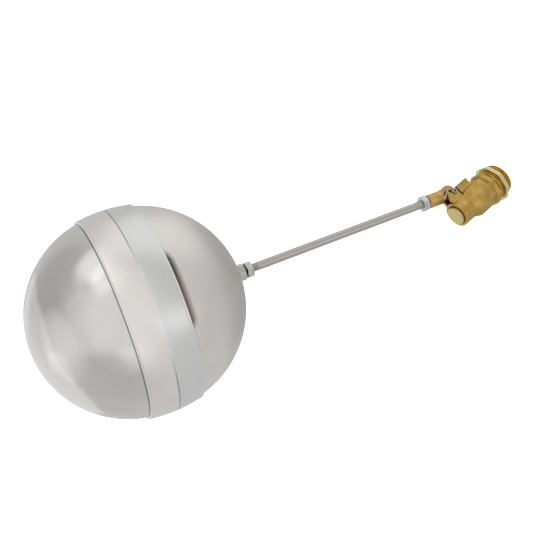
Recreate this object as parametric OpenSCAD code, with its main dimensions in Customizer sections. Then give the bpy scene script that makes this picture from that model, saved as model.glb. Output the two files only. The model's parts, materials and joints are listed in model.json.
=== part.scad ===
// Brass float valve with a stainless ball float, lever at its lower (open) stop.
// Origin: centre of the collar's outer face on the inlet axis. +X out of the inlet thread, +Z up, mm.

/* [Inlet thread] */
// Major diameter of the one inch parallel pipe thread
thread_d = 33.25; // [33.0:0.05:33.4]
// Length from the collar face to the end of the thread
thread_l = 18; // [16:0.5:22]
// Diameter of the runout groove beside the collar
relief_d = 30.4; // [30:0.1:31]
// Waterway diameter in the thread
inlet_d = 24; // [23:0.5:25]

/* [Casting] */
// Radius to the corners of the octagonal collar
collar_r = 18.4; // [18:0.1:19]
// Width of the collar
collar_w = 6; // [5:0.5:7]
// Radius to the corners of the octagonal middle
middle_r = 16.5; // [16:0.1:17]
// Radius to the corners of the octagonal barrel, and of its round front ring
barrel_r = 12.9; // [12.7:0.1:13.2]
// Distance from the collar face back to the barrel mouth
barrel_x = 48; // [47:0.5:49]
// Width across the fork ears and the spout
fork_w = 16; // [15:0.5:18]
// Gap between the fork ears
fork_gap = 8.4; // [8.4:0.1:8.8]
// Distance the outlet spout reaches below the inlet axis
spout_drop = 21.5; // [20:0.5:23]

/* [Backnut] */
// Radius to the corners of the octagonal backnut
backnut_r = 20.1; // [19.5:0.1:22]
// Thickness of the backnut
backnut_w = 4.4; // [4:0.2:6]
// Gap between the collar and the backnut
backnut_gap = 5.2; // [3:0.1:6]

/* [Piston] */
// Piston diameter
piston_d = 19.2; // [19.0:0.05:19.25]
// Radial running clearance of the piston in the barrel
piston_gap = 0.05; // [0.02:0.01:0.09]
// Distance the piston face stands out of the barrel mouth when open
piston_out = 2.5; // [2:0.1:3]

/* [Lever] */
// Pivot distance behind the collar face
pivot_x = 38; // [38:0.1:38.2]
// Pivot distance below the inlet axis
pivot_z = 21; // [20.8:0.1:21.2]
// Angle of the float rod below the horizontal when open
droop = 17.8; // [16:0.1:18.5]
// Angle the lever turns from open to closed
swing = 20; // [18:0.5:20]
// Distance from the pivot to the centre of the lever nose
nose_l = 18.5; // [18:0.1:18.6]
// Diameter of the split pin that is the pivot
pin_d = 3.2; // [3:0.1:3.4]
// Radial running clearance of the lever on its pin
pin_gap = 0.05; // [0.02:0.01:0.09]
// Diameter of the lever socket
socket_d = 13.8; // [13.4:0.1:14]

/* [Rod and float] */
// Diameter of the float rod
rod_d = 8; // [7.9:0.05:8]
// Distance from the pivot to the float centre
float_l = 326; // [300:1:400]
// Radius of the float domes
float_r = 90; // [88:1:92]
// Distance each dome is moved out from the float centre
dome_shift = 5.3; // [4:0.1:6]
// Wall thickness of the float
float_wall = 0.8; // [0.6:0.1:1.2]
// Width of the raised waist band
band_w = 48; // [42:1:52]
// Radius of the band at its middle
band_r = 92; // [91.6:0.1:92.4]

/* [Hidden] */

$fn = 96;
round_fn = 360;                                // facets of the float's large rounds
eps = 0.01;
fit = 0.02;                                    // radial play of screwed parts
octagon = 8;
hexagon = 6;
corner = 1 / cos(180 / octagon);               // corner radius over half the width across flats

// inlet thread and casting, distances from the collar face
relief_w = 2;
thread_cut = 1;
engaged_d = 31.77;                             // pitch diameter, where backnut and thread meet
engaged_play = 0.2;
collar_cut = 1.2;
middle_x = 27.5;
ramp_x = 33;
ring_w = 6;

// waterway and seat
inlet_floor = 3.6;                             // end of the waterway's full diameter
undercut_w = 0.7;
undercut = 0.4;
bore_d = piston_d + 2 * piston_gap;
flange_r = inlet_d / 2 - 0.5;                  // pocket of the seat flange
seat_step = 11;                                // step that the seat flange is screwed against
seat_flange = [10, 4.6];                        // seat flange, distances behind the collar face
seat_front = 13.9;
seat_lip = 15;
lip_r = [5.2, 6.4];
gasket_play = 0.1;

// lever and piston travel
nose_r = 2.5;
nose_play = 0.15;
shank_w = 4;
nose_w = 6;
travel = 2 * nose_l * sin(swing / 2);
seat_play = 0.08;                              // left between seat lip and rubber when closed
disc_face = -seat_lip - travel - seat_play;
disc_w = 3;
disc_r = 7.8;
window_r = 7;
retainer_lip = 1;
piston_face = -barrel_x - piston_out;

// lever eye, in the lever's own frame
eye_r = 7.6;
eye_drop = 1;
eye_play = 0.2;
eye_w = fork_gap - 2 * eye_play;
socket_z = [7.5, 24.2];
socket_floor = 9;
rod_z = [9.5, 233];

// fasteners on the rod
nut_af = 14;
nut_w = 6.5;
lever_nut_z = 25;
float_nut_z = 215.2;
boss_af = 14.6;
boss_z = [223.2, float_l - float_r - dome_shift - 0.05];
weld_r = [10.4, 8.6];
weld_w = 1.8;
weld_sink = 0.7;                               // depth the weld follows the dome's curve
weld_play = 0.03;
plate_r = 14;
plate_w = 2.2;

// float
shell_play = 0.05;
band_arc = 130;                                // radius of the band's flatter profile
seam_shift = 0.5;
seam_w = 1.5;
seam_proud = 0.15;

// fork, as distances from the piston face line and below the inlet axis
ear = [
    [-45.5, -8], [-44.7, -14], [-44, -19], [-41, -24.5],
    [-35, -24.5], [-31.5, -18], [-31.5, -8]
];
slot_x = [-42.4, -33.6];
slot_w = 6.6;
spout_x = [-30, -14.5];
spout_wall = 2.5;

// cylinder along X from x0 to x1
module bar_x(x0, x1, r, r2 = undef, fn = $fn) {
    translate([x0, 0, 0]) rotate([0, 90, 0])
        cylinder(h = x1 - x0, r1 = r, r2 = is_undef(r2) ? r : r2, $fn = fn);
}

// tube along X
module tube_x(x0, x1, r_out, r_in) {
    difference() {
        bar_x(x0, x1, r_out);
        bar_x(x0 - 1, x1 + 1, r_in);
    }
}

// plate in the XZ plane, centred on Y = 0
module plate_y(w) {
    rotate([90, 0, 0]) translate([0, 0, -w / 2]) linear_extrude(w) children();
}

// the lever's frame: origin on the pivot, +Z along the rod to the float, +X its upper side
module arm() {
    translate([-pivot_x, 0, -pivot_z]) rotate([0, -90 - droop, 0]) children();
}

// hexagon nut along Z with chamfered corners
module hex_nut(z0, w, af, hole_r) {
    r = af / 2 / cos(180 / hexagon);
    cut = 0.12 * af;
    translate([0, 0, z0]) difference() {
        intersection() {
            cylinder(h = w, r = r, $fn = hexagon);
            union() {
                cylinder(h = cut, r1 = r - cut * 1.2, r2 = r);
                translate([0, 0, cut]) cylinder(h = w - 2 * cut, r = r + 1);
                translate([0, 0, w - cut]) cylinder(h = cut, r1 = r, r2 = r - cut * 1.2);
            }
        }
        translate([0, 0, -1]) cylinder(h = w + 2, r = hole_r);
    }
}

module body_outside() {
    nut_end = backnut_gap + backnut_w + engaged_play;
    bar_x(relief_w - eps, backnut_gap, thread_d / 2);
    bar_x(backnut_gap - eps, nut_end + eps, engaged_d / 2);
    bar_x(nut_end, thread_l - thread_cut, thread_d / 2);
    bar_x(thread_l - thread_cut - eps, thread_l, thread_d / 2, thread_d / 2 - thread_cut);
    bar_x(-eps, relief_w, relief_d / 2);
    intersection() {
        bar_x(-collar_w, 0, collar_r, fn = octagon);
        union() {
            bar_x(-collar_w, -collar_w + collar_cut, collar_r - collar_cut, collar_r);
            bar_x(-collar_w + collar_cut - eps, 0, collar_r + 1);
        }
    }
    bar_x(-middle_x, -collar_w + eps, middle_r, fn = octagon);
    bar_x(-ramp_x, -middle_x + eps, barrel_r, middle_r, fn = octagon);
    bar_x(-barrel_x + ring_w, -ramp_x + eps, barrel_r, fn = octagon);
    bar_x(-barrel_x, -barrel_x + ring_w, barrel_r);
    plate_y(fork_w) polygon(ear);
    translate([spout_x[0], -fork_w / 2, -spout_drop])
        cube([spout_x[1] - spout_x[0], fork_w, spout_drop - barrel_r / 2]);
}
module body_inside() {
    mouth_cut = 0.6;
    bar_x(-barrel_x - 1, -seat_step + eps, bore_d / 2);
    bar_x(-barrel_x - eps, -barrel_x + mouth_cut, bore_d / 2 + mouth_cut, bore_d / 2);
    bar_x(-seat_step, -inlet_floor, flange_r);
    bar_x(-inlet_floor - undercut_w, -inlet_floor, inlet_d / 2 + undercut);
    bar_x(-inlet_floor - eps, thread_l + 1, inlet_d / 2);
    // gap between the ears, clear of the barrel
    difference() {
        translate([-barrel_x - 1, -fork_gap / 2, -2 * spout_drop])
            cube([barrel_x + 1 + spout_x[0], fork_gap, 2 * spout_drop - barrel_r]);
        bar_x(-barrel_x - 2, 0, barrel_r);
    }
    translate([slot_x[0], -slot_w / 2, -barrel_r - 3])
        cube([slot_x[1] - slot_x[0], slot_w, barrel_r + 3]);
    rotate([-90, 0, 0]) translate([-pivot_x, pivot_z, -fork_w])
        cylinder(h = 2 * fork_w, r = pin_d / 2 + pin_gap);
    translate([spout_x[0] + spout_wall, -fork_w / 2 + spout_wall, -spout_drop - 1])
        cube([spout_x[1] - spout_x[0] - 2 * spout_wall, fork_w - 2 * spout_wall, spout_drop + 1]);
}

module valve_body() {
    color([0.68, 0.57, 0.33]) difference() {
        body_outside();
        body_inside();
    }
}

module backnut() {
    cut = 0.5;
    x0 = backnut_gap;
    color([0.80, 0.70, 0.42]) difference() {
        intersection() {
            bar_x(x0, x0 + backnut_w, backnut_r, fn = octagon);
            union() {
                bar_x(x0, x0 + cut, backnut_r - cut, backnut_r);
                bar_x(x0 + cut - eps, x0 + backnut_w - cut + eps, backnut_r + 1);
                bar_x(x0 + backnut_w - cut, x0 + backnut_w, backnut_r, backnut_r - cut);
            }
        }
        bar_x(x0 - 1, x0 + backnut_w + 1, engaged_d / 2 + fit);
    }
}

module seat_nozzle() {
    driver_w = 2.4;
    driver_depth = 1.6;
    funnel = 2;
    color([0.78, 0.63, 0.30]) difference() {
        union() {
            bar_x(-seat_flange[0], -seat_flange[1], flange_r - fit);
            bar_x(-seat_front, -seat_flange[0] + eps, bore_d / 2 - gasket_play);
            bar_x(-seat_lip, -seat_front + eps, lip_r[1]);
        }
        bar_x(-seat_lip - 1, 0, lip_r[0]);
        bar_x(-seat_flange[1] - funnel, -seat_flange[1] + eps, lip_r[0], lip_r[0] + funnel);
        translate([-seat_flange[1] - driver_depth, -driver_w / 2, -inlet_d])
            cube([inlet_d, driver_w, 2 * inlet_d]);
    }
}

module seat_gasket() {
    color([0.14, 0.14, 0.14])
        tube_x(-seat_step + fit, -seat_flange[0] - fit, flange_r - gasket_play, bore_d / 2 + gasket_play);
}

// straight wire from point a to point b
module wire(a, b, r) {
    v = b - a;
    l = norm(v);
    translate(a) rotate([0, acos(v[2] / l), atan2(v[1], v[0])]) cylinder(h = l, r = r, $fn = 24);
}

// flat loop of bent wire round an axis along Y
module loop_y(p, ring_r, wire_r) {
    translate(p) rotate([90, 0, 0]) difference() {
        cylinder(h = 2 * wire_r, r = ring_r + wire_r, center = true, $fn = 32);
        cylinder(h = 4 * wire_r, r = ring_r - wire_r, center = true, $fn = 32);
    }
}

// fulcrum pin: head at -Y, one leg curled and one leg turned down at +Y
module split_pin() {
    side = fork_w / 2 + 0.2;
    leg_r = pin_d / 4;
    leg_y = side + leg_r;
    head_r = 2.5;
    head_in = 1.6;
    foot = [-pivot_x, leg_y - 0.1, -pivot_z];
    curl = [-pivot_x + 3, leg_y + 0.1, -pivot_z + 3];
    knee = [-pivot_x - 1.2, leg_y + 0.2, -pivot_z - 2.8];
    tip = [-pivot_x - 12.2, leg_y + 0.4, -pivot_z + 2.6];
    color([0.80, 0.80, 0.80]) {
        rotate([-90, 0, 0]) translate([-pivot_x, pivot_z, -side])
            cylinder(h = 2 * side + leg_r, r = pin_d / 2);
        translate([-pivot_x, head_in - side - head_r, -pivot_z]) difference() {
            cylinder(h = 2 * leg_r, r = head_r, center = true, $fn = 32);
            cylinder(h = 4 * leg_r, r = head_r - 1.5 * leg_r, center = true, $fn = 32);
            translate([-pin_d, head_r - head_in, -pin_d]) cube(2 * pin_d);
        }
        loop_y(curl, 1.9, leg_r * 0.9);
        wire(foot, knee, leg_r);
        wire(foot, curl - [1.2, 0, 1.2], leg_r * 0.8);
        translate(knee) sphere(r = leg_r * 1.1, $fn = 24);
        wire(knee, tip, leg_r * 0.8);
    }
}

module piston() {
    slot_c = -pivot_x - travel / 2;
    nose_z = -pivot_z + nose_l;
    half = nose_r + nose_play;
    flare = half + 2.4;
    face_cut = 0.5;
    spigot = disc_face - disc_w;
    spigot_l = 3;
    color([0.80, 0.72, 0.50]) difference() {
        union() {
            bar_x(piston_face, piston_face + face_cut, piston_d / 2 - face_cut, piston_d / 2);
            bar_x(piston_face + face_cut - eps, spigot - spigot_l, piston_d / 2);
            bar_x(spigot - spigot_l - eps, spigot, disc_r);
        }
        plate_y(nose_w + 0.8) translate([slot_c, 0]) polygon([
            [-half, nose_z + nose_r + 0.5], [-half, nose_z - 2], [-flare, -piston_d],
            [flare, -piston_d], [half, nose_z - 2], [half, nose_z + nose_r + 0.5]
        ]);
    }
}

module piston_seal() {
    color([0.10, 0.10, 0.10]) bar_x(disc_face - disc_w + fit, disc_face, disc_r - 0.05);
}

module seal_retainer() {
    skirt = 3;
    back = disc_face - disc_w - skirt + fit;
    color([0.80, 0.68, 0.38]) difference() {
        bar_x(back, disc_face + retainer_lip, piston_d / 2 - 0.1);
        bar_x(back - 1, disc_face + fit, disc_r + fit);
        bar_x(back - 1, disc_face + retainer_lip + 1, window_r);
    }
}

module lever() {
    color([0.70, 0.55, 0.33]) difference() {
        union() {
            arm() {
                translate([-eye_drop, -eye_w / 2, 0]) rotate([-90, 0, 0]) cylinder(h = eye_w, r = eye_r);
                translate([-eye_r + 1, -eye_w / 2, 0]) cube([2 * eye_r - 3, eye_w, socket_z[0] + 0.5]);
                translate([0, 0, socket_z[0]]) cylinder(h = socket_z[1] - socket_z[0], r = socket_d / 2);
            }
            translate([-pivot_x, 0, -pivot_z]) rotate([0, -swing / 2, 0]) {
                translate([-shank_w / 2, -nose_w / 2, 0]) cube([shank_w, nose_w, nose_l]);
                translate([0, -nose_w / 2, nose_l]) rotate([-90, 0, 0]) cylinder(h = nose_w, r = nose_r);
            }
        }
        rotate([-90, 0, 0]) translate([-pivot_x, pivot_z, -fork_w])
            cylinder(h = 2 * fork_w, r = pin_d / 2 + pin_gap);
        arm() translate([0, 0, socket_floor]) cylinder(h = socket_z[1], r = rod_d / 2 + fit);
    }
}

module float_rod() {
    color([0.74, 0.73, 0.72]) arm() translate([0, 0, rod_z[0]])
        cylinder(h = rod_z[1] - rod_z[0], r = rod_d / 2);
}

module lever_locknut() {
    color([0.72, 0.72, 0.72]) arm() hex_nut(lever_nut_z, nut_w, nut_af, rod_d / 2 + fit);
}

module float_locknut() {
    color([0.72, 0.72, 0.72]) arm() hex_nut(float_nut_z, nut_w, nut_af, rod_d / 2 + fit);
}

module float_boss() {
    color([0.76, 0.76, 0.75]) arm() hex_nut(boss_z[0], boss_z[1] - boss_z[0], boss_af, rod_d / 2 + fit);
}

// hole for the rod's end through the near dome and its plate
module rod_hole() {
    reach = 20;
    arm() translate([0, 0, rod_z[1] - reach]) cylinder(h = 2 * reach, r = rod_d / 2 + fit);
}

// moves to the centre of the near (-1) or far (+1) dome
module dome(side) {
    arm() translate([0, 0, float_l + side * dome_shift]) children();
}

module boss_weld() {
    base = float_l - float_r - dome_shift;
    color([0.62, 0.61, 0.60]) difference() {
        arm() translate([0, 0, base - weld_w + weld_sink])
            cylinder(h = weld_w, r1 = weld_r[1], r2 = weld_r[0]);
        arm() translate([0, 0, base - weld_r[0]])
            cylinder(h = 2 * weld_r[0], r = boss_af / 2 / cos(180 / hexagon) + weld_play);
        dome(-1) sphere(r = float_r + shell_play, $fn = round_fn);
    }
}

module boss_plate() {
    color([0.70, 0.70, 0.70]) difference() {
        intersection() {
            arm() translate([0, 0, float_l - dome_shift - float_r + float_wall])
                cylinder(h = plate_w, r = plate_r);
            dome(-1) sphere(r = float_r - float_wall - shell_play, $fn = round_fn);
        }
        rod_hole();
    }
}

// one pressed half of the float: a dome whose edge reaches the seam
module float_shell(side) {
    half = seam_w / 2 + shell_play;
    edge = float_l - seam_shift + side * half;
    reach = 2 * float_r;
    difference() {
        dome(side) sphere(r = float_r, $fn = round_fn);
        dome(side) sphere(r = float_r - float_wall, $fn = round_fn);
        arm() translate([0, 0, side > 0 ? edge - reach : edge]) cylinder(h = reach, r = reach);
        rod_hole();
    }
}

// one half of the raised waist band, from the seam to its outer lip
module float_band(side) {
    half = seam_w / 2;
    lo = side > 0 ? -seam_shift + half : -band_w / 2;
    hi = side > 0 ? band_w / 2 : -seam_shift - half;
    depth = 3.4;
    difference() {
        arm() translate([0, 0, float_l]) rotate_extrude($fn = round_fn) intersection() {
            translate([band_r - band_arc, 0]) circle(r = band_arc, $fn = 2 * round_fn);
            translate([float_r - depth, lo]) square([3 * depth, hi - lo]);
        }
        dome(side) sphere(r = float_r + shell_play, $fn = round_fn);
    }
}

module float_seam() {
    inner = float_r + shell_play;
    outer = band_r + seam_proud;
    color([0.70, 0.70, 0.69]) arm() translate([0, 0, float_l - seam_shift - seam_w / 2 + fit]) difference() {
        cylinder(h = seam_w - 2 * fit, r = outer, $fn = round_fn);
        translate([0, 0, -1]) cylinder(h = seam_w + 2, r = inner, $fn = round_fn);
    }
}

module float_shell_near() {
    color([0.66, 0.65, 0.63]) float_shell(-1);
}

module float_shell_far() {
    color([0.66, 0.65, 0.63]) float_shell(1);
}

module float_band_near() {
    color([0.78, 0.76, 0.74]) float_band(-1);
}

module float_band_far() {
    color([0.78, 0.76, 0.74]) float_band(1);
}

valve_body();
backnut();
seat_nozzle();
seat_gasket();
split_pin();
piston();
piston_seal();
seal_retainer();
lever();
float_rod();
lever_locknut();
float_locknut();
float_boss();
boss_weld();
boss_plate();
float_shell_near();
float_shell_far();
float_band_near();
float_band_far();
float_seam();
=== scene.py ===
"""Looks of a brass float valve with a stainless ball float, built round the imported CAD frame."""
import json
import math

import bmesh
import bpy
from mathutils import Matrix, Vector, noise


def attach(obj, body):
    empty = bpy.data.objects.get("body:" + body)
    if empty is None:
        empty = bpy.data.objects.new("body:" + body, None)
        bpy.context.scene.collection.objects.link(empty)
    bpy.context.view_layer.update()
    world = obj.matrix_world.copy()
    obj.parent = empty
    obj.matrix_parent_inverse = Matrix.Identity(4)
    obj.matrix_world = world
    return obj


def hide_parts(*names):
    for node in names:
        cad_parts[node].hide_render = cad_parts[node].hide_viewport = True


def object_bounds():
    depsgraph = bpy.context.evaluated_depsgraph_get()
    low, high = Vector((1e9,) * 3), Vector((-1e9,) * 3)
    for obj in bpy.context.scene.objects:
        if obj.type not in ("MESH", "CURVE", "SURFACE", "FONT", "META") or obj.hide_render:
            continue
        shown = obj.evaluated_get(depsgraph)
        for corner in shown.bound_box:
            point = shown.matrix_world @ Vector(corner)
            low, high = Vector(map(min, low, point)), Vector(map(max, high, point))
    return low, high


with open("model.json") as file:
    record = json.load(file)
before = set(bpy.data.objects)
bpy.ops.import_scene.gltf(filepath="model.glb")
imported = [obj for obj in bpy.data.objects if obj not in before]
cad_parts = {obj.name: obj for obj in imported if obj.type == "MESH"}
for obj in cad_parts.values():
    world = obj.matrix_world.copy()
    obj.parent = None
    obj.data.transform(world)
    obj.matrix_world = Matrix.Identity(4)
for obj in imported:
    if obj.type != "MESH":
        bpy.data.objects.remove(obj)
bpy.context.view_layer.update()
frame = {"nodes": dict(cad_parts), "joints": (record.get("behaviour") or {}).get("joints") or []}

MM = 0.001
FULL = 2 * math.pi

# driving sizes of the design, in millimetres
DROOP = math.radians(17.8)
FLOAT_L = 326.0
FLOAT_R = 90.0
DOME_SHIFT = 5.3
FLOAT_WALL = 0.8
BAND_R = 92.0
BAND_ARC = 130.0
BAND_W = 48.0
SEAM_SHIFT = 0.5
ROD_R = 4.0
ROD_PITCH = 1.25
PIPE_R = 16.625
PIPE_PITCH = 2.309
PIPE_L = 18.0
INLET_R = 12.0
RELIEF_R = 15.2
NUT_AF = 14.0
NUT_W = 6.5
BOSS_AF = 14.6
BACKNUT_R = 20.1
BACKNUT_X = (5.2, 9.6)
ROD_ENDS = (9.5, 233.0)
THREAD_ENDS = (40.0, 208.0)
LEVER_NUT_Z = 25.0
FLOAT_NUT_Z = 215.2
BOSS_Z = 223.2
HEXAGON = 6
OCTAGON = 8

# places and strengths of the studio, in metres and watts
WHITE_BACKGROUND = 1.05
FLOOR_SIZE = 6.0
FLOOR_GAP = 0.12
LAMP_TARGET = Vector((-0.15, 0, -0.05))
LAMP_PLACE = (-0.6, 1.5, 0.8)
LAMP_SIZE = 1.6
LAMP_WATTS = 5

# the photograph's view: where the camera stands, the way back from its target, and up in the picture
VIEW_FROM = Vector((-0.5265, 0.6935, 0.0730))
VIEW_BACK = Vector((-0.3841, 0.9017, 0.1983)).normalized()
VIEW_UP = Vector((0.5803, 0.4029, -0.7077))
VIEW_ANGLE = math.radians(35.0)


# ---------------------------------------------------------------- camera, floor and light

def view_axes():
    """Right, up and back directions of the camera, as a rotation matrix."""
    right = VIEW_UP.cross(VIEW_BACK).normalized()
    up = VIEW_BACK.cross(right)
    return Matrix((right, up, VIEW_BACK)).transposed()


def make_camera():
    cam = bpy.data.objects.new("camera", bpy.data.cameras.new("camera"))
    bpy.context.scene.collection.objects.link(cam)
    cam.matrix_world = Matrix.Translation(VIEW_FROM) @ view_axes().to_4x4()
    cam.data.angle = VIEW_ANGLE
    cam.data.clip_start = 0.01
    bpy.context.scene.camera = cam
    bpy.context.scene.view_settings.view_transform = "Standard"


# soft boxes and dark parts of the studio: direction (right, up, back), inner and outer angle, strength
STUDIO = [
    ((-1.00, 0.28, -0.10), 10, 42, -0.18),
    ((-0.52, 0.74, 0.42), 6, 25, 0.46),
    ((-0.32, 0.60, 0.74), 4, 24, 0.34),
    ((-0.10, 0.00, 1.00), 20, 60, 0.26),
    ((-0.90, -0.36, 0.22), 6, 32, 0.26),
    ((-0.75, -0.35, -0.58), 31, 35, 0.24),
    ((-0.25, -0.95, 0.28), 12, 44, -0.08),
    ((0.20, -0.70, 0.68), 5, 24, 0.22),
    ((0.20, 0.97, -0.10), 14, 46, 0.34),
    ((0.60, 0.20, -0.78), 12, 42, -0.26),
    ((-0.80, -0.58, -0.10), 10, 13, 0.16),
    ((0.73, -0.12, 0.67), 3, 18, 0.42),
]
STUDIO_BASE = 0.76


def make_world():
    world = bpy.data.worlds.new("studio")
    bpy.context.scene.world = world
    world.use_nodes = True
    tree = world.node_tree
    tree.nodes.clear()
    axes = view_axes()
    coord = tree.nodes.new("ShaderNodeTexCoord")
    total = None
    for direction, inner, outer, strength in STUDIO:
        dot = tree.nodes.new("ShaderNodeVectorMath")
        dot.operation = "DOT_PRODUCT"
        dot.inputs[1].default_value = (axes @ Vector(direction)).normalized()
        tree.links.new(coord.outputs["Generated"], dot.inputs[0])
        soft = tree.nodes.new("ShaderNodeMapRange")
        soft.interpolation_type = "SMOOTHSTEP"
        soft.inputs["From Min"].default_value = math.cos(math.radians(outer))
        soft.inputs["From Max"].default_value = math.cos(math.radians(inner))
        soft.inputs["To Min"].default_value = 0.0
        soft.inputs["To Max"].default_value = strength
        tree.links.new(dot.outputs["Value"], soft.inputs["Value"])
        add = tree.nodes.new("ShaderNodeMath")
        add.operation = "ADD"
        add.inputs[1].default_value = STUDIO_BASE
        tree.links.new(soft.outputs["Result"], add.inputs[0])
        if total:
            tree.links.new(total, add.inputs[1])
        total = add.outputs["Value"]
    room = tree.nodes.new("ShaderNodeBackground")
    tree.links.new(total, room.inputs["Strength"])
    white = tree.nodes.new("ShaderNodeBackground")
    white.inputs["Color"].default_value = (1, 1, 1, 1)
    white.inputs["Strength"].default_value = WHITE_BACKGROUND
    path = tree.nodes.new("ShaderNodeLightPath")
    mix = tree.nodes.new("ShaderNodeMixShader")
    out = tree.nodes.new("ShaderNodeOutputWorld")
    tree.links.new(path.outputs["Is Camera Ray"], mix.inputs["Fac"])
    tree.links.new(room.outputs["Background"], mix.inputs[1])
    tree.links.new(white.outputs["Background"], mix.inputs[2])
    tree.links.new(mix.outputs["Shader"], out.inputs["Surface"])


def make_light(name, place, target, size, watts):
    """Square soft light at place (right, up, back from the target, in metres)."""
    lamp = bpy.data.lights.new(name, "AREA")
    lamp.size = size
    lamp.energy = watts
    obj = bpy.data.objects.new(name, lamp)
    bpy.context.scene.collection.objects.link(obj)
    obj.location = target + view_axes() @ Vector(place)
    obj.rotation_euler = (target - obj.location).to_track_quat("-Z", "Y").to_euler()
    obj.visible_camera = False
    obj.visible_glossy = False


def make_floor():
    """Plain white sheet well below the object."""
    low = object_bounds()[0][2]
    mesh = bpy.data.meshes.new("floor")
    build = bmesh.new()
    bmesh.ops.create_grid(build, x_segments=8, y_segments=8, size=FLOOR_SIZE)
    build.to_mesh(mesh)
    build.free()
    floor = bpy.data.objects.new("floor", mesh)
    bpy.context.scene.collection.objects.link(floor)
    floor.location = (0, 0, low - FLOOR_GAP)
    floor.visible_glossy = False
    floor.data.materials.append(paper())


# ---------------------------------------------------------------- materials

class Paint:
    """Small helper that adds nodes to one material."""

    def __init__(self, name, on_arm=False):
        self.material = bpy.data.materials.new(name)
        self.material.use_nodes = True
        self.tree = self.material.node_tree
        self.shader = self.tree.nodes["Principled BSDF"]
        self.coord = self.tree.nodes.new("ShaderNodeTexCoord").outputs["Object"]
        if on_arm:
            turn = self.tree.nodes.new("ShaderNodeMapping")
            turn.vector_type = "TEXTURE"
            turn.inputs["Location"].default_value = arm_matrix().translation
            turn.inputs["Rotation"].default_value = arm_matrix().to_euler()
            self.link(self.coord, turn.inputs["Vector"])
            self.coord = turn.outputs["Vector"]

    def link(self, a, b):
        self.tree.links.new(a, b)

    def stretch(self, scale):
        """Object coordinates scaled unevenly."""
        node = self.tree.nodes.new("ShaderNodeMapping")
        node.inputs["Scale"].default_value = scale
        self.link(self.coord, node.inputs["Vector"])
        return node.outputs["Vector"]

    def noise(self, scale, detail=3.0, vector=None, rough=0.5):
        node = self.tree.nodes.new("ShaderNodeTexNoise")
        node.inputs["Scale"].default_value = scale
        node.inputs["Detail"].default_value = detail
        node.inputs["Roughness"].default_value = rough
        self.link(vector if vector else self.coord, node.inputs["Vector"])
        return node.outputs["Fac"]

    def span(self, value, lo, hi, start=0.3, end=0.7):
        """value mapped from start..end to lo..hi."""
        node = self.tree.nodes.new("ShaderNodeMapRange")
        node.inputs["From Min"].default_value = start
        node.inputs["From Max"].default_value = end
        node.inputs["To Min"].default_value = lo
        node.inputs["To Max"].default_value = hi
        self.link(value, node.inputs["Value"])
        return node.outputs["Result"]

    def math(self, operation, a, b):
        node = self.tree.nodes.new("ShaderNodeMath")
        node.operation = operation
        for socket, value in zip(node.inputs, (a, b)):
            if isinstance(value, (int, float)):
                socket.default_value = value
            else:
                self.link(value, socket)
        return node.outputs["Value"]

    def blend(self, fac, a, b):
        """Colour a where fac is 0 and b where it is 1; each is a colour or a socket."""
        node = self.tree.nodes.new("ShaderNodeMix")
        node.data_type = "RGBA"
        self.link(fac, node.inputs["Factor"])
        for socket, value in ((node.inputs["A"], a), (node.inputs["B"], b)):
            colour_socket = [s for s in node.inputs if s.name == socket.name and s.type == "RGBA"][0]
            if isinstance(value, tuple):
                colour_socket.default_value = (*value, 1)
            else:
                self.link(value, colour_socket)
        return [s for s in node.outputs if s.type == "RGBA"][0]

    def split(self, vector):
        node = self.tree.nodes.new("ShaderNodeSeparateXYZ")
        self.link(vector, node.inputs["Vector"])
        return node.outputs

    def bump(self, height, strength, depth):
        node = self.tree.nodes.new("ShaderNodeBump")
        node.inputs["Strength"].default_value = strength
        node.inputs["Distance"].default_value = depth
        self.link(height, node.inputs["Height"])
        previous = self.shader.inputs["Normal"]
        if previous.is_linked:
            self.link(previous.links[0].from_socket, node.inputs["Normal"])
        self.link(node.outputs["Normal"], previous)

    def painted_crevice_shade(self, colour, dark, reach):
        """Painted shade: colour that turns to dark in corners closer together than reach, from ambient
        occlusion.
        """
        node = self.tree.nodes.new("ShaderNodeAmbientOcclusion")
        node.samples = 8
        node.inputs["Distance"].default_value = reach
        return self.blend(self.span(node.outputs["AO"], 0, 1, 0.25, 0.80), dark, colour)

    def metal(self, colour, rough):
        self.shader.inputs["Metallic"].default_value = 1.0
        self.set("Base Color", colour)
        self.set("Roughness", rough)

    def set(self, name, value):
        socket = self.shader.inputs[name]
        if isinstance(value, tuple):
            socket.default_value = (*value, 1)
        elif isinstance(value, (int, float)):
            socket.default_value = value
        else:
            self.link(value, socket)


def paper():
    paint = Paint("paper")
    paint.set("Base Color", paint.blend(paint.noise(3), (0.95, 0.95, 0.95), (1, 1, 1)))
    paint.set("Roughness", 0.9)
    paint.set("Emission Color", (1.0, 1.0, 1.0))
    paint.set("Emission Strength", 1.0)
    return paint.material


def polished_dome():
    """Pressed stainless, buffed round its axis, with slow waves in the sheet."""
    paint = Paint("polished_dome", on_arm=True)
    rings = paint.noise(1.0, 2, paint.stretch((10, 10, 700)))
    cloud = paint.noise(26, 4)
    tone = paint.blend(paint.span(cloud, 0, 1), (0.72, 0.71, 0.685), (0.80, 0.79, 0.765))
    depth = paint.split(paint.coord)["Z"]
    edge = (FLOAT_L + BAND_W / 2) * MM
    # painted shadow: a dark line on the dome along the edge of the band
    crease_shadow = paint.span(depth, 1, 0, edge + 0.0004, edge + 0.0013)
    rough = paint.math("ADD", paint.span(rings, 0.09, 0.14), paint.span(cloud, 0.0, 0.05))
    paint.metal(paint.blend(crease_shadow, tone, (0.27, 0.26, 0.25)), rough)
    paint.bump(paint.noise(20, 1), 0.55, 0.009)
    paint.bump(rings, 0.03, 0.0003)
    return paint.material


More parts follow.
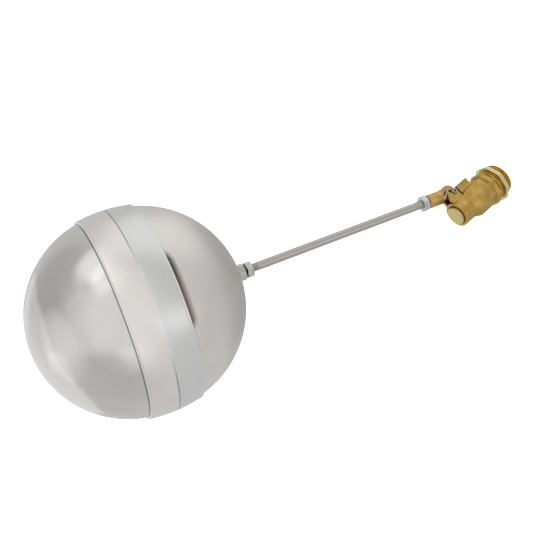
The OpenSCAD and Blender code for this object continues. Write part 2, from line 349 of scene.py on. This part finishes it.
def satin_dome():
    """Bead blasted stainless with a fine grain, with a painted dark grey to reddish reflection and a
    painted shadow line beside the band.
    """
    paint = Paint("satin_dome", on_arm=True)
    grain = paint.noise(1400, 2)
    cloud = paint.noise(30, 4)
    tone = paint.blend(paint.span(cloud, 0, 1), (0.78, 0.755, 0.73), (0.86, 0.83, 0.80))
    parts = paint.split(paint.coord)
    band_edge = (FLOAT_L - BAND_W / 2) * MM
    fade = paint.span(paint.math("ADD", parts["Z"], paint.math("MULTIPLY", cloud, 0.002)), 0, 1,
                      band_edge - 0.0055, band_edge - 0.0005)
    side = math.radians(74)
    along = paint.math("ADD", paint.math("MULTIPLY", parts["X"], math.cos(side) / FLOAT_R / MM),
                       paint.math("MULTIPLY", parts["Y"], math.sin(side) / FLOAT_R / MM))
    # painted reflection: a dark grey to reddish wedge on the dome beside the band, on one side only
    painted_reflection_patch = paint.math("MULTIPLY", fade, paint.span(along, 0, 1, 0.900, 0.93))
    turn = paint.span(parts["X"], 0, 1, 0.006, 0.028)
    painted_reflection_tint = paint.blend(turn, (0.10, 0.10, 0.105), (0.25, 0.155, 0.135))
    # painted shadow: a dark line on the dome along the edge of the band
    crease_shadow = paint.span(parts["Z"], 0, 0.75, band_edge - 0.0010, band_edge - 0.0003)
    paint.metal(paint.blend(painted_reflection_patch, paint.blend(crease_shadow, tone, (0.27, 0.26, 0.25)), painted_reflection_tint),
                paint.math("ADD", paint.span(grain, 0.33, 0.40), paint.span(cloud, 0.0, 0.05)))
    paint.bump(grain, 0.12, 0.0003)
    return paint.material


def ground_band():
    """Waist band, ground smooth along its length; the half beyond the seam is warmer and lighter, and a
    painted highlight runs along the rim.
    """
    paint = Paint("ground_band", on_arm=True)
    lines = paint.noise(1.0, 2, paint.stretch((30, 30, 1500)))
    cloud = paint.noise(22, 3)
    warm = paint.blend(paint.span(cloud, 0, 1), (0.86, 0.83, 0.80), (0.91, 0.885, 0.86))
    cool = paint.blend(paint.span(cloud, 0, 1), (0.76, 0.76, 0.755), (0.82, 0.82, 0.815))
    wave = paint.math("MULTIPLY", paint.math("SUBTRACT", paint.noise(14, 1), 0.5), 0.012)
    parts = paint.split(paint.coord)
    height = paint.math("ADD", parts["Z"], wave)
    seam = (FLOAT_L - SEAM_SHIFT) * MM
    half = paint.span(height, 0, 1, seam - 0.0015, seam + 0.0015)
    side = math.radians(68)
    along = paint.math("ADD", paint.math("MULTIPLY", parts["X"], math.cos(side) / BAND_R / MM),
                       paint.math("MULTIPLY", parts["Y"], math.sin(side) / BAND_R / MM))
    away = paint.math("ABSOLUTE", paint.math("SUBTRACT", parts["Z"], seam), 0)
    line = paint.math("MULTIPLY", paint.span(away, 0.8, 0, 0.0002, 0.0008),
                      paint.span(along, 1, 0, 0.78, 0.93))
    rim = paint.math("ABSOLUTE", paint.math("SUBTRACT", parts["Z"], FLOAT_L * MM), 0)
    # painted highlight: a lighter strip along the rim of the band
    lip = paint.span(rim, 0, 1, (BAND_W / 2 - 1.3) * MM, (BAND_W / 2 - 0.9) * MM)
    tone = paint.blend(lip, paint.blend(half, cool, warm), (0.90, 0.89, 0.87))
    paint.metal(paint.blend(line, tone, (0.25, 0.24, 0.23)),
                paint.math("ADD", paint.span(lines, 0.24, 0.27), paint.span(cloud, 0.0, 0.04)))
    paint.bump(lines, 0.015, 0.0002)
    return paint.material


def weld_metal():
    paint = Paint("weld_metal")
    bead = paint.noise(500, 3)
    tone = paint.blend(paint.span(bead, 0, 1), (0.50, 0.47, 0.43), (0.66, 0.64, 0.61))
    paint.metal(tone, paint.span(bead, 0.30, 0.45))
    paint.bump(bead, 0.3, 0.0004)
    return paint.material


def rod_steel():
    """Drawn rod, brushed with slanting strokes."""
    paint = Paint("rod_steel", on_arm=True)
    strokes = paint.noise(1.0, 3, paint.stretch((900, 900, 2400)))
    drawn = paint.noise(1.0, 2, paint.stretch((900, 900, 8)))
    tone = paint.blend(paint.span(strokes, 0, 1), (0.49, 0.455, 0.42), (0.58, 0.54, 0.505))
    paint.metal(tone, paint.math("ADD", paint.span(strokes, 0.12, 0.19), paint.span(drawn, 0.0, 0.04)))
    paint.bump(strokes, 0.08, 0.0002)
    paint.bump(drawn, 0.10, 0.0002)
    return paint.material


def nut_steel():
    paint = Paint("nut_steel")
    grain = paint.noise(900, 3)
    cloud = paint.noise(160, 3)
    tone = paint.blend(paint.span(cloud, 0, 1), (0.54, 0.53, 0.51), (0.74, 0.73, 0.71))
    # painted shade: the tone turns dark in corners and gaps, from ambient occlusion
    tone = paint.painted_crevice_shade(tone, (0.12, 0.11, 0.10), 0.003)
    paint.metal(tone, paint.span(grain, 0.14, 0.26))
    paint.bump(grain, 0.2, 0.0003)
    return paint.material


def cast_brass():
    """Fine sand cast brass, dulled, with brighter rubbed patches."""
    paint = Paint("cast_brass")
    grain = paint.noise(1800, 3)
    cloud = paint.noise(120, 4)
    tone = paint.blend(paint.span(cloud, 0, 1), (0.49, 0.31, 0.07), (0.71, 0.48, 0.14))
    # painted shade: the tone turns dark in corners and gaps, from ambient occlusion
    tone = paint.painted_crevice_shade(tone, (0.17, 0.10, 0.02), 0.006)
    paint.metal(tone, paint.math("ADD", paint.span(grain, 0.34, 0.44), paint.span(cloud, -0.03, 0.04)))
    paint.bump(grain, 0.35, 0.0004)
    paint.bump(cloud, 0.10, 0.0010)
    return paint.material


def turned_brass():
    """Bright turned brass with fine lathe lines round the inlet axis."""
    paint = Paint("turned_brass")
    lines = paint.noise(1.0, 2, paint.stretch((2600, 60, 60)))
    cloud = paint.noise(150, 3)
    tone = paint.blend(paint.span(cloud, 0, 1), (0.68, 0.42, 0.05), (0.80, 0.53, 0.09))
    # painted shade: the tone turns dark in corners and gaps, from ambient occlusion
    tone = paint.painted_crevice_shade(tone, (0.24, 0.12, 0.01), 0.003)
    paint.metal(tone, paint.span(lines, 0.26, 0.36))
    paint.bump(lines, 0.12, 0.0003)
    return paint.material


def pale_brass():
    """Faced brass, pale and matt, with a fine grain."""
    paint = Paint("pale_brass")
    grain = paint.noise(1500, 2)
    cloud = paint.noise(110, 3)
    tone = paint.blend(paint.span(cloud, 0, 1), (0.76, 0.62, 0.30), (0.88, 0.77, 0.46))
    paint.metal(tone, paint.span(grain, 0.34, 0.46))
    paint.bump(grain, 0.15, 0.0003)
    return paint.material


def faced_brass():
    """Piston brass, faced with fine round tool marks about the inlet axis."""
    paint = Paint("faced_brass")
    parts = paint.split(paint.coord)
    radius = paint.math("SQRT", paint.math("ADD", paint.math("MULTIPLY", parts["Y"], parts["Y"]),
                                           paint.math("MULTIPLY", parts["Z"], parts["Z"])), 0)
    marks = paint.math("SINE", paint.math("MULTIPLY", radius, FULL / 0.0009), 0)
    grain = paint.noise(900, 3)
    tone = paint.blend(paint.span(grain, 0, 1), (0.60, 0.47, 0.21), (0.80, 0.67, 0.35))
    # painted shade: the tone turns dark in corners and gaps, from ambient occlusion
    tone = paint.painted_crevice_shade(tone, (0.30, 0.17, 0.03), 0.002)
    paint.metal(tone, paint.span(grain, 0.34, 0.46))
    paint.bump(paint.math("ADD", paint.math("MULTIPLY", marks, 0.3), grain), 0.2, 0.0003)
    return paint.material


def lever_brass():
    """Forged lever brass, warmer and a little darker than the body."""
    paint = Paint("lever_brass")
    grain = paint.noise(1500, 3)
    cloud = paint.noise(140, 3)
    tone = paint.blend(paint.span(cloud, 0, 1), (0.57, 0.35, 0.13), (0.75, 0.49, 0.20))
    # painted shade: the tone turns dark in corners and gaps, from ambient occlusion
    tone = paint.painted_crevice_shade(tone, (0.20, 0.10, 0.03), 0.005)
    paint.metal(tone, paint.span(grain, 0.28, 0.40))
    paint.bump(grain, 0.25, 0.0003)
    return paint.material


def black_rubber():
    paint = Paint("black_rubber")
    grain = paint.noise(700, 3)
    paint.set("Base Color", paint.blend(grain, (0.018, 0.018, 0.018), (0.035, 0.035, 0.035)))
    paint.set("Roughness", paint.span(grain, 0.55, 0.75))
    paint.bump(grain, 0.2, 0.0002)
    return paint.material


# ---------------------------------------------------------------- mesh helpers

def arm_matrix():
    """The lever's frame: origin on the pivot, Z along the rod to the float, X its upper side."""
    pivot = [j for j in frame["joints"] if j["name"] == "lever_pivot"][0]["pos_m"]
    return Matrix.Translation(pivot) @ Matrix.Rotation(-math.pi / 2 - DROOP, 4, "Y")


def inlet_matrix():
    """Frame on the inlet axis with Z along +X of the part, so turned pieces are drawn upright."""
    return Matrix.Rotation(math.pi / 2, 4, "Y")


def finish_piece(name, build, matrix, body, material, slot, nodes=(), sharp=32):
    """Turns a bmesh drawn in millimetres in the frame of matrix into a piece that rides on a body."""
    bmesh.ops.scale(build, vec=(MM, MM, MM), verts=build.verts)
    bmesh.ops.transform(build, matrix=matrix, verts=build.verts)
    bmesh.ops.remove_doubles(build, verts=build.verts, dist=1e-7)
    bmesh.ops.recalc_face_normals(build, faces=build.faces)
    mesh = bpy.data.meshes.new(name)
    build.to_mesh(mesh)
    build.free()
    obj = bpy.data.objects.new(name, mesh)
    bpy.context.scene.collection.objects.link(obj)
    place(obj, body, material, slot, nodes, sharp)
    return obj


def place(obj, body, material, slot, nodes, sharp):
    """Smooth shading with sharp edges, material, body and the CAD nodes that the piece stands for."""
    mesh = obj.data
    for face in mesh.polygons:
        face.use_smooth = True
    mesh.set_sharp_from_angle(angle=math.radians(sharp))
    mesh.materials.clear()
    mesh.materials.append(material)
    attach(obj, body)
    if nodes:
        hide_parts(*nodes)


def grid_surface(build, rows, closed_rows):
    """Joins rings of points into a skin; closed_rows joins the last ring to the first."""
    rings = [[build.verts.new(point) for point in row] for row in rows]
    count = len(rings)
    for i in range(count if closed_rows else count - 1):
        a = rings[i]
        b = rings[(i + 1) % count]
        for k in range(len(a)):
            m = (k + 1) % len(a)
            build.faces.new((a[k], a[m], b[m], b[k]))


def ring(radius, z, segments):
    return [
        Vector((radius * math.cos(FULL * k / segments), radius * math.sin(FULL * k / segments), z))
        for k in range(segments)
    ]


def lathe(profile, segments):
    """Closed turned solid from (radius, z) points that go round the section."""
    build = bmesh.new()
    grid_surface(build, [ring(max(r, 1e-5), z, segments) for r, z in profile], True)
    return build


def arc_profile(centre_z, radius, z0, z1, steps, drop=0.0):
    """(radius, z) points of a circle about the axis from z0 to z1, even in angle."""
    a0 = math.asin(max(-1, min(1, (z0 - centre_z) / radius)))
    a1 = math.asin(max(-1, min(1, (z1 - centre_z) / radius)))
    points = []
    for i in range(steps + 1):
        a = a0 + (a1 - a0) * i / steps
        points.append((radius * math.cos(a) - drop, centre_z + radius * math.sin(a)))
    return points


def thread_depth(turn):
    """Depth of a rounded 60 degree thread, 0 at the crest and 1 at the root."""
    t = turn % 1.0
    tri = abs(2 * t - 1)
    return max(0.0, min(1.0, (1 - tri - 0.10) / 0.76))


def threaded_rows(z_list, radius, depth, pitch, segments, strength):
    """Rings of a helical thread; strength(z) fades it in and out."""
    rows = []
    for z in z_list:
        row = []
        for k in range(segments):
            angle = FULL * k / segments
            r = radius - depth * strength(z) * thread_depth(z / pitch - k / segments)
            row.append(Vector((r * math.cos(angle), r * math.sin(angle), z)))
        rows.append(row)
    return rows


def steps(z0, z1, size):
    count = max(1, round((z1 - z0) / size))
    return [z0 + (z1 - z0) * i / count for i in range(count + 1)]


def prism_nut(sides, corner, z0, width, hole, face, crown, start=0.0):
    """Nut along Z: corner radius, face radius where its chamfer cone starts, and the cone's angle."""
    segments = sides * 24
    slope = math.tan(math.radians(crown))
    flat = corner * math.cos(math.pi / sides)
    depth = min((corner - face) * slope, width / 2 - 0.1)
    levels = [depth * i / 8 for i in range(9)]
    levels = levels + [width - h for h in reversed(levels)]
    rows = []
    for h in levels:
        row = []
        for k in range(segments):
            angle = start + FULL * k / segments
            local = (angle - start) % (FULL / sides) - math.pi / sides
            r = min(flat / math.cos(local), face + min(h, width - h) / slope, corner - 0.15)
            row.append(Vector((r * math.cos(angle), r * math.sin(angle), z0 + h)))
        rows.append(row)
    sink = 0.5
    for r, h in ((hole + sink, width), (hole, width - sink), (hole, sink), (hole + sink, 0.0)):
        rows.append([Vector((r * math.cos(start + FULL * k / segments),
                             r * math.sin(start + FULL * k / segments), z0 + h)) for k in range(segments)])
    build = bmesh.new()
    grid_surface(build, rows, True)
    return build


def cast_copy(name, node, cut_x, voxel, rounds, body, material, slot, roughness):
    """Copy of a CAD node as a casting: remeshed, its edges rounded, its skin very slightly uneven."""
    source = frame["nodes"][node]
    obj = bpy.data.objects.new(name, source.data.copy())
    bpy.context.scene.collection.objects.link(obj)
    if cut_x is not None:
        build = bmesh.new()
        build.from_mesh(obj.data)
        bmesh.ops.remove_doubles(build, verts=build.verts, dist=1e-6)
        geometry = build.verts[:] + build.edges[:] + build.faces[:]
        cut = bmesh.ops.bisect_plane(build, geom=geometry, plane_co=(cut_x, 0, 0), plane_no=(1, 0, 0),
                                     clear_outer=True)
        rim = [e for e in cut["geom_cut"] if isinstance(e, bmesh.types.BMEdge)]
        bmesh.ops.triangle_fill(build, use_beauty=True, edges=rim)
        build.to_mesh(obj.data)
        build.free()
    remesh = obj.modifiers.new("remesh", "REMESH")
    remesh.mode = "VOXEL"
    remesh.voxel_size = voxel
    soften = obj.modifiers.new("soften", "SMOOTH")
    soften.factor = 0.5
    soften.iterations = rounds
    bpy.context.view_layer.update()
    shape = obj.evaluated_get(bpy.context.evaluated_depsgraph_get())
    mesh = bpy.data.meshes.new_from_object(shape)
    obj.modifiers.clear()
    obj.data = mesh
    normals = [v.normal.copy() for v in mesh.vertices]
    for v, normal in zip(mesh.vertices, normals):
        v.co += normal * roughness * noise.noise(v.co * 900)
    place(obj, body, material, slot, (node,), 60)
    return obj


def wire_piece(name, paths, radius, material):
    """Bent round wire along smooth paths given in millimetres."""
    curve = bpy.data.curves.new(name, "CURVE")
    curve.dimensions = "3D"
    curve.bevel_depth = radius * MM
    curve.bevel_resolution = 5
    curve.use_fill_caps = True
    curve.resolution_u = 8
    for path in paths:
        spline = curve.splines.new("NURBS")
        spline.points.add(len(path) - 1)
        for point, place_mm in zip(spline.points, path):
            point.co = (*[c * MM for c in place_mm], 1)
        spline.order_u = 3
        spline.use_endpoint_u = True
    obj = bpy.data.objects.new(name, curve)
    bpy.context.scene.collection.objects.link(obj)
    shape = obj.evaluated_get(bpy.context.evaluated_depsgraph_get())
    mesh = bpy.data.meshes.new_from_object(shape)
    bpy.data.objects.remove(obj)
    piece = bpy.data.objects.new(name, mesh)
    bpy.context.scene.collection.objects.link(piece)
    place(piece, "valve", material, "nut_steel", (), 60)
    return piece


# ---------------------------------------------------------------- float

def dome_profile(side, hole):
    """Section of one pressed dome from its edge under the band to the pole, out and back."""
    centre = FLOAT_L + side * DOME_SHIFT
    edge = FLOAT_L - SEAM_SHIFT + side * 0.9
    pole = math.sqrt(FLOAT_R ** 2 - hole ** 2)
    inner_r = FLOAT_R - FLOAT_WALL
    inner_pole = math.sqrt(inner_r ** 2 - hole ** 2)
    outside = arc_profile(centre, FLOAT_R, edge, centre + side * pole, 72)
    inside = arc_profile(centre, inner_r, edge, centre + side * inner_pole, 72)
    return outside + inside[::-1]


def band_profile(side):
    """Section of one half of the waist band, with a rolled lip at its outer edge."""
    lip_w = 1.5
    lip_up = 0.22
    round_r = 0.35
    start = FLOAT_L - SEAM_SHIFT + side * 0.72
    end = FLOAT_L + side * BAND_W / 2
    centre_r = BAND_R - BAND_ARC

    def surface(z):
        return centre_r + math.sqrt(BAND_ARC ** 2 - (z - FLOAT_L) ** 2)

    points = []
    body_end = end - side * lip_w
    for i in range(25):
        z = start + (body_end - start) * i / 24
        points.append((surface(z), z))
    points[0] = (points[0][0] - 0.05, points[0][1])
    points.append((surface(body_end) - 0.14, body_end + side * 0.18))
    points.append((surface(body_end) - 0.02, body_end + side * 0.40))
    points.append((surface(end) + lip_up, end - side * (round_r + 0.3)))
    for i in range(5):
        a = math.pi / 2 * i / 4
        points.append((surface(end) + lip_up - round_r + round_r * math.cos(a),
                       end - side * round_r + side * round_r * math.sin(a)))
    dome_centre = FLOAT_L + side * DOME_SHIFT
    for i in range(13):
        z = end + (start - end) * i / 12
        points.append((math.sqrt((FLOAT_R + 0.03) ** 2 - (z - dome_centre) ** 2), z))
    return points


def seam_piece(arm, material):
    """Butt weld between the band halves, ground nearly flush, its width a little uneven."""
    segments = 360
    rows = []
    section = ((-0.76, -0.04), (-0.6, 0.0), (-0.2, 0.01), (0.2, 0.01), (0.6, 0.0), (0.76, -0.04),
               (0.76, -0.9), (-0.76, -0.9))
    for z, up in section:
        row = []
        for k in range(segments):
            a = FULL * k / segments
            wobble = 0.10 * noise.noise(Vector((math.cos(a) * 9, math.sin(a) * 9, z)))
            r = BAND_R - 0.03 + up + (0.4 * wobble if up > -0.5 else 0)
            row.append(Vector((r * math.cos(a), r * math.sin(a), FLOAT_L - SEAM_SHIFT + z * (1 + wobble))))
        rows.append(row)
    build = bmesh.new()
    grid_surface(build, rows, True)
    finish_piece("float_seam_weld", build, arm, "lever_arm", material, "weld_steel", ("float_seam",))


def boss_weld_piece(arm, material):
    """Fillet weld round the boss, laid in overlapping ripples."""
    base = FLOAT_L - FLOAT_R - DOME_SHIFT
    segments = 240
    ripples = 34
    rows = []
    corner = BOSS_AF / 2 / math.cos(math.pi / 6)
    section = 10
    for i in range(section + 1):
        t = i / section
        row = []
        for k in range(segments):
            a = FULL * k / segments
            local = a % (FULL / 6) - math.pi / 6
            hexagon = BOSS_AF / 2 / math.cos(local)
            foot = corner + 1.9 + 0.15 * noise.noise(Vector((math.cos(a) * 3, math.sin(a) * 3, 0)))
            r = foot + (hexagon - foot) * t
            ripple = 0.10 * math.sin(a * ripples + 3 * t) * math.sin(math.pi * t)
            surface = base + FLOAT_R - math.sqrt(FLOAT_R ** 2 - r * r)
            rise = 1.25 * t ** 1.6 + 0.32 * math.sin(math.pi * t) + ripple
            row.append(Vector((r * math.cos(a), r * math.sin(a), surface - rise)))
        rows.append(row)
    rows.append([
        Vector((p.x, p.y, base + FLOAT_R - math.sqrt(FLOAT_R ** 2 - p.x ** 2 - p.y ** 2) + 0.1))
        for p in rows[-1]
    ])
    build = bmesh.new()
    grid_surface(build, rows, True)
    finish_piece("boss_weld_bead", build, arm, "lever_arm", material, "weld_steel", ("boss_weld",), 60)


def make_float(arm, paints):
    near = lathe(dome_profile(-1, ROD_R + 0.05), 256)
    finish_piece("float_dome_near", near, arm, "lever_arm", paints["satin"], "satin_steel",
                 ("float_shell_near",))
    far = lathe(dome_profile(1, 0.0), 256)
    finish_piece("float_dome_far", far, arm, "lever_arm", paints["polished"], "satin_steel",
                 ("float_shell_far",))
    finish_piece("waist_band_near", lathe(band_profile(-1), 256), arm, "lever_arm", paints["band"],
                 "band_steel", ("float_band_near",))
    finish_piece("waist_band_far", lathe(band_profile(1), 256), arm, "lever_arm", paints["band"],
                 "band_steel", ("float_band_far",))
    seam_piece(arm, paints["band"])
    boss_weld_piece(arm, paints["weld"])


# ---------------------------------------------------------------- rod and nuts

def make_rod(arm, paints):
    run_out = 2.0
    z_list = steps(ROD_ENDS[0] + 0.6, THREAD_ENDS[0], ROD_PITCH / 8)
    z_list += steps(THREAD_ENDS[0] + 1, THREAD_ENDS[1] - 1, 2.0)
    z_list += steps(THREAD_ENDS[1], ROD_ENDS[1] - 0.6, ROD_PITCH / 8)

    def strength(z):
        inner = min(max((THREAD_ENDS[0] - z) / run_out, 0), 1)
        outer = min(max((z - THREAD_ENDS[1]) / run_out, 0), 1)
        return max(inner, outer)

    segments = 64
    rows = threaded_rows(z_list, ROD_R - 0.01, 0.5, ROD_PITCH, segments, strength)
    rows.insert(0, ring(ROD_R - 0.8, ROD_ENDS[0], segments))
    rows.insert(0, ring(1e-5, ROD_ENDS[0], segments))
    rows.append(ring(ROD_R - 0.8, ROD_ENDS[1], segments))
    rows.append(ring(1e-5, ROD_ENDS[1], segments))
    build = bmesh.new()
    grid_surface(build, rows, False)
    finish_piece("threaded_rod", build, arm, "lever_arm", paints["rod"], "rod_steel", ("float_rod",), 50)


def make_fasteners(arm, paints):
    corner = NUT_AF / 2 / math.cos(math.pi / 6)
    for name, node, z, turn in (("locknut_lever", "lever_locknut", LEVER_NUT_Z, 0.35),
                                ("locknut_float", "float_locknut", FLOAT_NUT_Z, 0.15)):
        build = prism_nut(HEXAGON, corner, z, NUT_W, ROD_R - 0.25, NUT_AF / 2 - 0.3, 30, turn)
        finish_piece(name, build, arm, "lever_arm", paints["nut"], "nut_steel", (node,), 28)
    boss_corner = BOSS_AF / 2 / math.cos(math.pi / 6)
    base = FLOAT_L - FLOAT_R - DOME_SHIFT
    boss_w = base - 0.05 - BOSS_Z
    build = prism_nut(HEXAGON, boss_corner, BOSS_Z, boss_w, ROD_R - 0.25, BOSS_AF / 2 - 0.2, 30)
    finish_piece("welded_boss", build, arm, "lever_arm", paints["nut"], "nut_steel", ("float_boss",), 28)


# ---------------------------------------------------------------- valve

def make_thread(paints):
    """Male pipe thread with its runout groove and waterway, joined to the casting at the collar."""
    inlet = inlet_matrix()
    segments = 160
    start = 1.5
    lead = 1.2

    def strength(z):
        return min(max((z - 1.6) / 1.2, 0), 1)

    rows = [ring(RELIEF_R, -0.4, segments), ring(RELIEF_R, 0.9, segments)]
    heights = steps(start, PIPE_L - lead, PIPE_PITCH / 12)
    threaded = threaded_rows(heights, PIPE_R, 1.45, PIPE_PITCH, segments, strength)
    for z, row in zip(heights, threaded):
        limit = RELIEF_R + (z - start) * 2.2
        rows.append([p if p.xy.length <= limit else Vector((*(p.xy.normalized() * limit), z)) for p in row])
    rows.append(ring(PIPE_R - 1.3, PIPE_L - 0.3, segments))
    rows.append(ring(PIPE_R - 1.6, PIPE_L, segments))
    rows.append(ring(INLET_R + 0.6, PIPE_L, segments))
    rows.append(ring(INLET_R, PIPE_L - 0.6, segments))
    rows.append(ring(INLET_R, -0.4, segments))
    build = bmesh.new()
    grid_surface(build, rows, True)
    finish_piece("pipe_thread", build, inlet, "valve", paints["turned"], "machined_brass", (), 40)


def make_backnut(paints):
    x0, x1 = BACKNUT_X
    build = prism_nut(OCTAGON, BACKNUT_R, x0, x1 - x0, PIPE_R - 0.9, BACKNUT_R - 0.7, 45)
    finish_piece("octagon_backnut", build, inlet_matrix(), "valve", paints["pale"], "pale_brass",
                 ("backnut",), 28)


def make_split_pin(paints):
    """Wire split pin: loop head on the far side, one leg curled and one bent on the near side."""
    pivot = [j for j in frame["joints"] if j["name"] == "lever_pivot"][0]["pos_m"]
    px, pz = pivot[0] / MM, pivot[2] / MM
    side = 8.2
    leg = 0.62
    shank = [(px, -side, pz - leg), (px, side - 0.6, pz - leg)]
    head = [(px, -side - 0.2, pz + leg), (px, -side - 1.6, pz + 1.9), (px, -side - 3.0, pz + 1.6),
            (px, -side - 3.5, pz), (px, -side - 3.0, pz - 1.6), (px, -side - 1.6, pz - 1.9),
            (px, -side - 0.2, pz - leg)]
    curl = [(px, side - 0.8, pz + leg), (px + 0.3, side + 0.7, pz + 1.1)]
    for i in range(14):
        a = math.radians(215 - i * 26)
        curl.append((px + 3.0 + 1.9 * math.cos(a), side + 0.8 + 0.03 * i, pz + 3.0 + 1.9 * math.sin(a)))
    down = [(px, side - 0.8, pz - leg), (px - 0.3, side + 0.8, pz - 1.3), (px - 1.4, side + 0.9, pz - 2.8),
            (px - 3.2, side + 1.0, pz - 2.2), (px - 12.2, side + 1.2, pz + 2.6)]
    top = [(px, -side - 0.2, pz + leg), (px, side - 0.8, pz + leg)]
    pin = wire_piece("split_pin_wire", [shank, top, head, curl, down], leg, paints["nut"])
    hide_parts("split_pin")


def make_valve(paints):
    cast_copy("body_casting", "valve_body", 0.5 * MM, 0.36 * MM, 3, "valve", paints["cast"], "cast_brass",
              0.03 * MM)
    make_thread(paints)
    make_backnut(paints)
    make_split_pin(paints)
    cast_copy("lever_forging", "lever", None, 0.30 * MM, 3, "lever_arm", paints["lever"], "lever_brass",
              0.02 * MM)


def dress_cad_nodes(paints):
    """Finer materials for the CAD nodes that are shown as they are."""
    finishes = {
        "seat_nozzle": "turned", "seat_gasket": "rubber", "piston": "faced", "piston_seal": "rubber",
        "seal_retainer": "turned", "boss_plate": "satin",
    }
    for node, finish in finishes.items():
        obj = frame["nodes"][node]
        for slot in obj.material_slots:
            slot.material = paints[finish]


def main():
    paints = {
        "polished": polished_dome(), "satin": satin_dome(), "band": ground_band(), "weld": weld_metal(),
        "rod": rod_steel(), "nut": nut_steel(), "cast": cast_brass(), "turned": turned_brass(),
        "pale": pale_brass(), "faced": faced_brass(), "lever": lever_brass(), "rubber": black_rubber(),
    }
    make_camera()
    make_world()
    make_floor()
    make_light("overhead", LAMP_PLACE, LAMP_TARGET, LAMP_SIZE, LAMP_WATTS)
    arm = arm_matrix()
    make_float(arm, paints)
    make_rod(arm, paints)
    make_fasteners(arm, paints)
    make_valve(paints)
    dress_cad_nodes(paints)


main()
